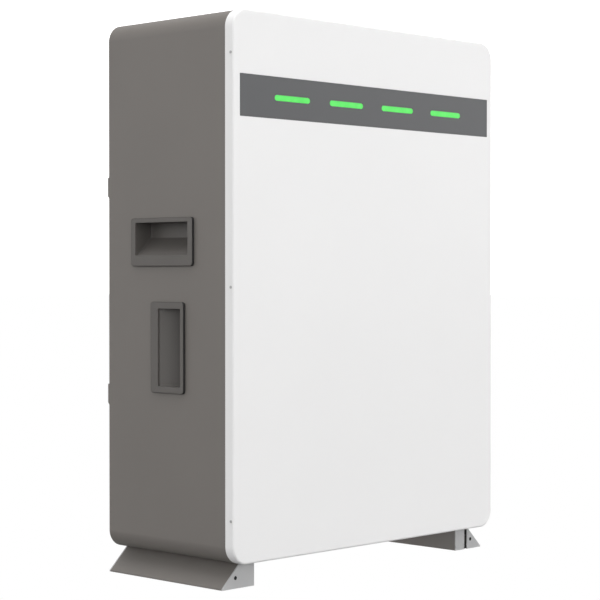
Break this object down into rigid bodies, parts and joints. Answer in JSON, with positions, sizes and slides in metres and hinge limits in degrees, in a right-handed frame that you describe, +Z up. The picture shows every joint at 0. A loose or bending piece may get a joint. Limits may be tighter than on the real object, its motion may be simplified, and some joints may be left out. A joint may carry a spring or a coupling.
{
  "type": "wall battery unit",
  "caption": "Upright home battery cabinet with a pale front cover, a status light strip, side grip cups, folded feet, rear wall hooks and a side connection bay.",
  "frame": {"origin": "centre of the bounding box in X and Y, on the floor under the feet", "axes": "+X to the cabinet's right seen from the front, -Y out of the front cover, +Z up"},
  "size_m": [0.609, 0.296, 0.843],
  "materials": {
    "case_paint": "matte",
    "cover_paint": "satin",
    "window_acrylic": "satin",
    "green_light": "satin",
    "grip_plastic": "matte",
    "black_rubber": "matte",
    "foot_paint": "matte",
    "foot_end_paint": "matte",
    "black_steel": "satin",
    "zinc_steel": "satin",
    "cell_can": "satin",
    "insulating_sheet": "matte",
    "copper": "satin",
    "aluminium_plate": "satin",
    "circuit_board": "satin",
    "fuse_ceramic": "satin",
    "black_plastic": "matte",
    "breaker_plastic": "matte",
    "red_plastic": "satin",
    "smoked_plastic": "gloss",
    "button_metal": "satin",
    "cable_sheath": "satin"
  },
  "bodies": {
    "cabinet": {"case_shell": "case_paint", "rear_panel": "case_paint", "front_frame": "case_paint", "front_cover": "cover_paint", "cover_gasket": "black_rubber", "cover_screws": "zinc_steel", "window_strip": "window_acrylic", "light_bars": "green_light", "led_board": "circuit_board", "led_board_screws": "zinc_steel", "grip_cup_left_flat": "grip_plastic", "grip_cup_left_upright": "grip_plastic", "grip_cup_right_flat": "grip_plastic", "grip_cup_right_upright": "grip_plastic", "grip_seals": "black_rubber", "grip_nuts": "zinc_steel", "foot_left": "foot_paint", "foot_right": "foot_paint", "foot_end_plates": "foot_end_paint", "foot_end_screws": "black_steel", "foot_bolts": "zinc_steel", "wall_hook_left_lower": "case_paint", "wall_hook_left_upper": "case_paint", "wall_hook_right_lower": "case_paint", "wall_hook_right_upper": "case_paint", "hook_screws": "black_steel", "cells_left": "cell_can", "cells_right": "cell_can", "cell_spacers": "insulating_sheet", "busbar_carrier": "black_plastic", "sense_board": "circuit_board", "busbars": "copper", "terminal_nuts": "zinc_steel", "pack_end_plates": "aluminium_plate", "tie_rods": "zinc_steel", "pack_supports": "zinc_steel", "bms_heatsink": "aluminium_plate", "bms_spacers": "zinc_steel", "bms_board": "circuit_board", "fuse_holder": "black_plastic", "pack_fuse": "fuse_ceramic", "connection_bay": "case_paint", "bay_back_plate": "case_paint", "bay_screws": "zinc_steel", "breaker_body": "breaker_plastic", "flap_pin": "zinc_steel", "button_housings": "button_metal", "comm_ports": "black_plastic", "terminals_positive": "red_plastic", "terminals_negative": "black_plastic", "terminal_inserts": "copper", "earth_stud": "zinc_steel", "vent_plug": "black_plastic", "cable_lugs": "copper", "power_cables": "cable_sheath", "signal_cables": "cable_sheath"},
    "toggle": {"breaker_toggle": "black_plastic"},
    "flap": {"breaker_flap": "smoked_plastic"},
    "power_cap": {"power_button": "button_metal"},
    "reset_cap": {"reset_button": "red_plastic"}
  },
  "joints": [
    {"name": "breaker_switch", "type": "hinge", "parent": "cabinet", "child": "toggle", "pos_m": [0.272, 0.035, 0.73], "axis": [0, -1, 0], "range_deg": [0, 70]},
    {"name": "flap_hinge", "type": "hinge", "parent": "cabinet", "child": "flap", "pos_m": [0.2955, 0.035, 0.772], "axis": [0, -1, 0], "range_deg": [0, 110]},
    {"name": "power_press", "type": "slide", "parent": "cabinet", "child": "power_cap", "axis": [-1, 0, 0], "range_m": [0, 0.002], "stiffness_N_per_m": 400},
    {"name": "reset_press", "type": "slide", "parent": "cabinet", "child": "reset_cap", "axis": [-1, 0, 0], "range_m": [0, 0.001], "stiffness_N_per_m": 300}
  ]
}
